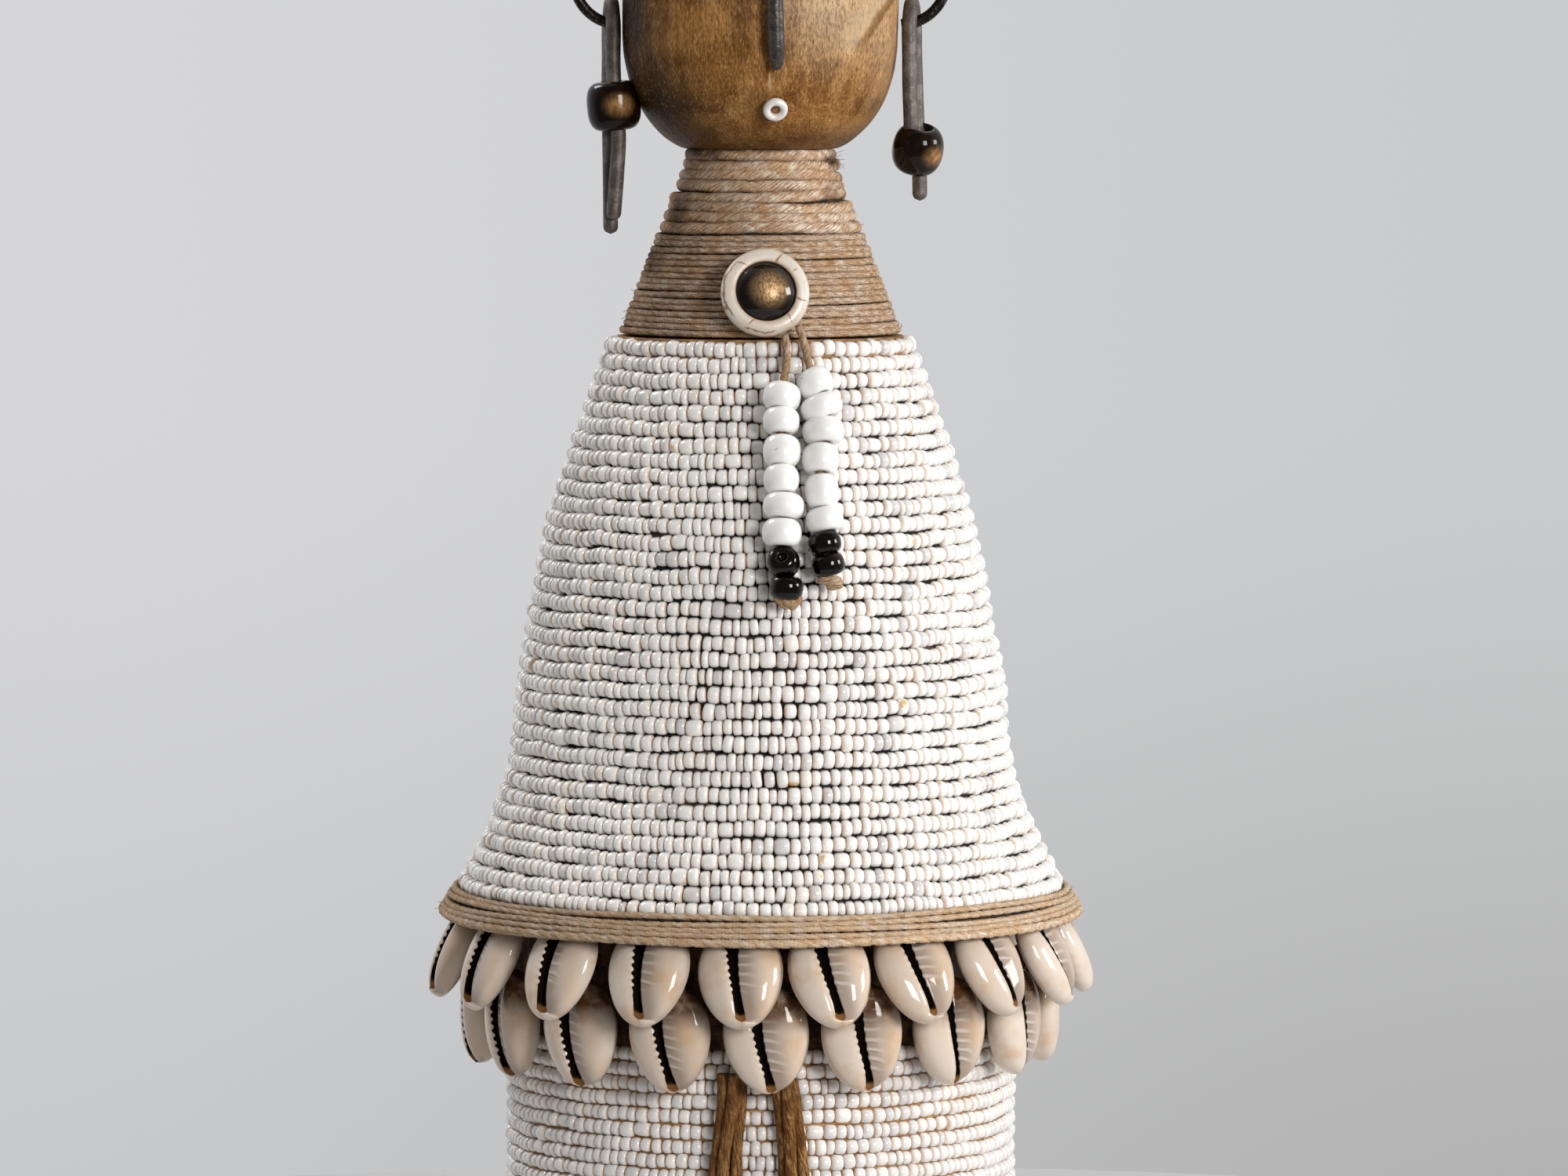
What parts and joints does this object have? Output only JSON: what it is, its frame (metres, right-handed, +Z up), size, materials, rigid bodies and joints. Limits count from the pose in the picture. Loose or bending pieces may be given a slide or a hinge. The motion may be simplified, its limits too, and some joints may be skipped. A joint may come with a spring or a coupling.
{
  "type": "namji doll",
  "caption": "Standing carved wooden doll with a twine-wound neck, a flared body in white beadwork, cowrie shells, ear ornaments and a beaded pendant.",
  "frame": {"origin": "centre of the flat underside of the base", "axes": "+Z up the doll, the face looks along -Y, its left-hand side as seen is -X"},
  "size_m": [0.1217, 0.1221, 0.296],
  "materials": {
    "head_wood": "warm brown carved wood, waxed and worn to a soft gloss",
    "base_wood": "plain brown wood, satin",
    "ear_bead_wood": "dark polished wood",
    "steel_wire": "grey-brown worn steel wire",
    "twine": "tan two-ply plant-fibre twine",
    "white_bead": "opaque off-white glass seed beads, glossy",
    "pendant_bead": "opaque white and black glass beads, glossy",
    "cowrie_shell": "cream to tan natural shell, glossy",
    "ring_stone": "off-white disc with brown crack lines, satin",
    "stud_bronze": "dark bronze dome, rubbed bright at the top"
  },
  "bodies": {
    "root": {"base": "base_wood", "body_beadwork": "white_bead", "cape_beadwork": "white_bead", "cowrie_lower_01": "cowrie_shell", "cowrie_lower_02": "cowrie_shell", "cowrie_lower_03": "cowrie_shell", "cowrie_lower_04": "cowrie_shell", "cowrie_lower_05": "cowrie_shell", "cowrie_lower_06": "cowrie_shell", "cowrie_lower_07": "cowrie_shell", "cowrie_lower_08": "cowrie_shell", "cowrie_lower_09": "cowrie_shell", "cowrie_lower_10": "cowrie_shell", "cowrie_lower_11": "cowrie_shell", "cowrie_lower_12": "cowrie_shell", "cowrie_lower_13": "cowrie_shell", "cowrie_lower_14": "cowrie_shell", "cowrie_lower_15": "cowrie_shell", "cowrie_lower_16": "cowrie_shell", "cowrie_lower_17": "cowrie_shell", "cowrie_upper_01": "cowrie_shell", "cowrie_upper_02": "cowrie_shell", "cowrie_upper_03": "cowrie_shell", "cowrie_upper_04": "cowrie_shell", "cowrie_upper_05": "cowrie_shell", "cowrie_upper_06": "cowrie_shell", "cowrie_upper_07": "cowrie_shell", "cowrie_upper_08": "cowrie_shell", "cowrie_upper_09": "cowrie_shell", "cowrie_upper_10": "cowrie_shell", "cowrie_upper_11": "cowrie_shell", "cowrie_upper_12": "cowrie_shell", "cowrie_upper_13": "cowrie_shell", "cowrie_upper_14": "cowrie_shell", "cowrie_upper_15": "cowrie_shell", "cowrie_upper_16": "cowrie_shell", "cowrie_upper_17": "cowrie_shell", "cowrie_upper_18": "cowrie_shell", "cowrie_upper_19": "cowrie_shell", "ear_bead_left": "ear_bead_wood", "ear_bead_right": "ear_bead_wood", "ear_hoop_left": "steel_wire", "ear_hoop_right": "steel_wire", "ear_link_left": "steel_wire", "ear_link_right": "steel_wire", "eye_bead_left": "white_bead", "eye_bead_right": "white_bead", "head": "head_wood", "hem_twine": "twine", "mouth_bead": "white_bead", "neck_twine": "twine", "nose_bar": "steel_wire", "pendant_beads_left": "pendant_bead", "pendant_beads_right": "pendant_bead", "pendant_cord_left": "twine", "pendant_cord_right": "twine", "pendant_ring": "ring_stone", "pendant_stud": "stud_bronze", "tassel_left": "twine", "tassel_right": "twine"}
  },
  "joints": []
}
